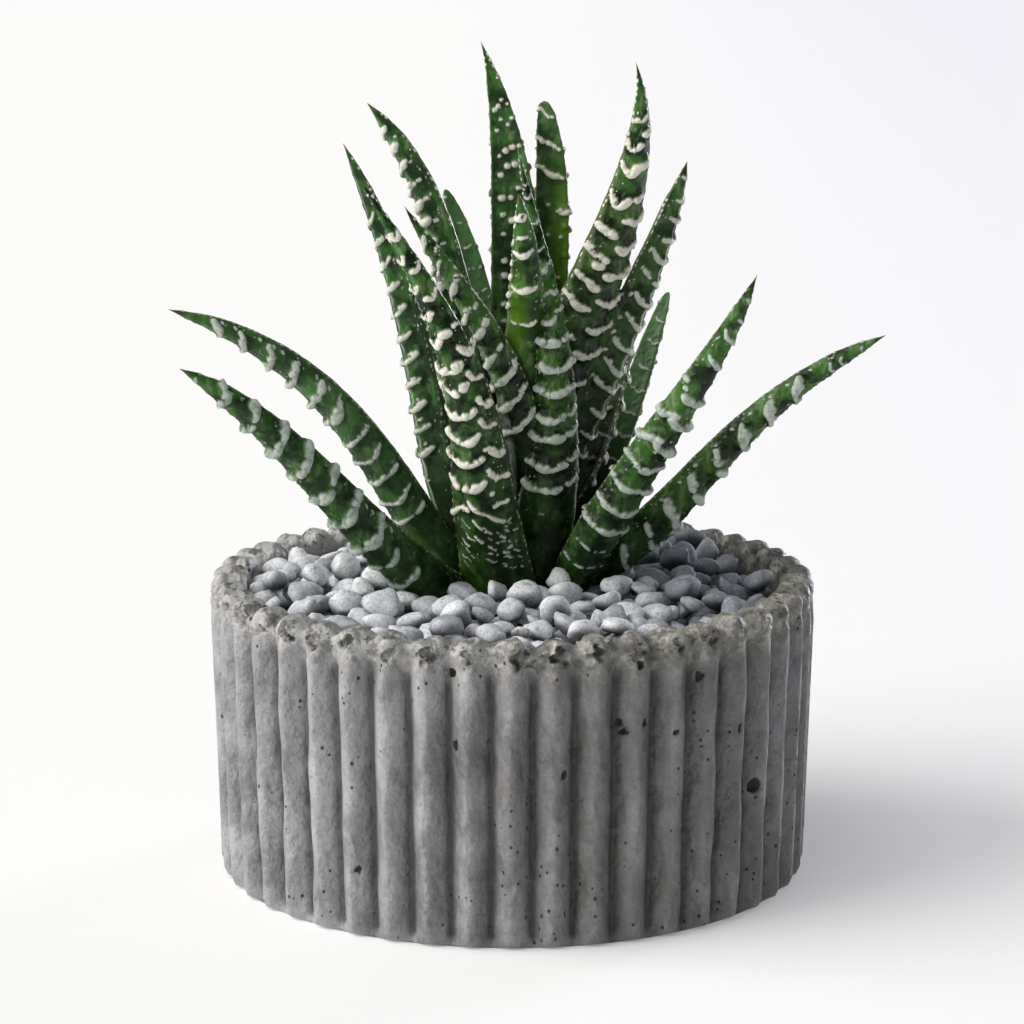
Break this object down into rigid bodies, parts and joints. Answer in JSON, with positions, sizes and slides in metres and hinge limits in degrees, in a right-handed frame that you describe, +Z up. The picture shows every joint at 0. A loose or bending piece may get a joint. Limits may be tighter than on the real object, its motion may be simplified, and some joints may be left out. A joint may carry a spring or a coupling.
{
  "type": "potted haworthia",
  "caption": "Small zebra haworthia: a rosette of pointed, white-banded succulent leaves in a round fluted concrete pot topped with grey pebbles.",
  "frame": {"origin": "centre of the pot's flat underside", "axes": "+Z up through the pot and the rosette, -Y towards the front of the plant, +X to its right"},
  "size_m": [0.0865, 0.0762, 0.104],
  "materials": {
    "concrete": "matt, cast, with small air pits and a worn rim",
    "soil": "loose, dark and dry",
    "pebbles": "smooth, rounded, matt",
    "stem": "matt",
    "leaf": "waxy green with raised white bands and fine pale margins"
  },
  "bodies": {
    "root": {"pot": "concrete", "soil": "soil", "gravel": "pebbles", "stem": "stem", "leaf_01": "leaf", "leaf_02": "leaf", "leaf_03": "leaf", "leaf_04": "leaf", "leaf_05": "leaf", "leaf_06": "leaf", "leaf_07": "leaf", "leaf_08": "leaf", "leaf_09": "leaf", "leaf_10": "leaf", "leaf_11": "leaf", "leaf_12": "leaf", "leaf_13": "leaf", "leaf_14": "leaf", "leaf_15": "leaf", "leaf_16": "leaf", "leaf_17": "leaf", "leaf_18": "leaf", "leaf_19": "leaf", "leaf_20": "leaf", "leaf_21": "leaf", "leaf_22": "leaf", "leaf_23": "leaf"}
  },
  "joints": []
}
